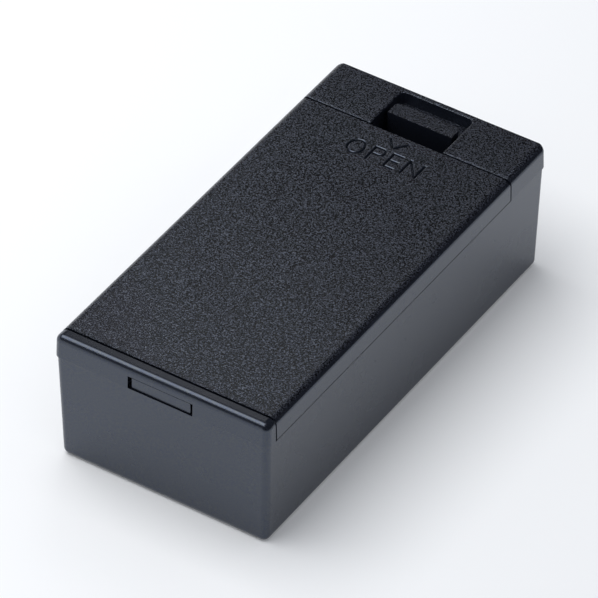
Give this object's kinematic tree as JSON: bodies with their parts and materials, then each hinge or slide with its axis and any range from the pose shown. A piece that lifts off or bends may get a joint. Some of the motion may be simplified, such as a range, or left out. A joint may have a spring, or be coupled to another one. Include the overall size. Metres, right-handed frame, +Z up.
{
  "type": "battery box",
  "caption": "Closed black plastic box for one block battery, with a tilting lid, a finger latch in a recess and a snap contact board inside.",
  "frame": {"origin": "middle of the flat underside", "axes": "+Y along the box to the latch end, +Z up through the lid, +X to the right seen from the tongue end"},
  "size_m": [0.034, 0.0702, 0.0212],
  "materials": {
    "black_plastic": "moulded ABS, spark-eroded grain",
    "fibre_board": "pressed fibre board, satin",
    "nickel_plate": "nickel plate, satin",
    "tin_plate": "tinned brass, dull"
  },
  "bodies": {
    "base": {"base_shell": "black_plastic", "contact_board": "fibre_board", "positive_snap_socket": "nickel_plate", "socket_eyelet": "nickel_plate", "negative_snap_stud": "nickel_plate", "positive_solder_tag": "tin_plate", "negative_solder_tag": "tin_plate"},
    "lid": {"lid": "black_plastic"},
    "latch": {"latch_arm": "black_plastic"}
  },
  "joints": [
    {"name": "lid_tilt", "type": "hinge", "parent": "base", "child": "lid", "pos_m": [0, -0.0341, 0.02115], "axis": [1, 0, 0], "range_deg": [0, 105]},
    {"name": "latch_press", "type": "hinge", "parent": "lid", "child": "latch", "pos_m": [0, 0.02965, 0.0098], "axis": [1, 0, 0], "range_deg": [0, 9], "stiffness_Nm_per_rad": 0.7}
  ]
}
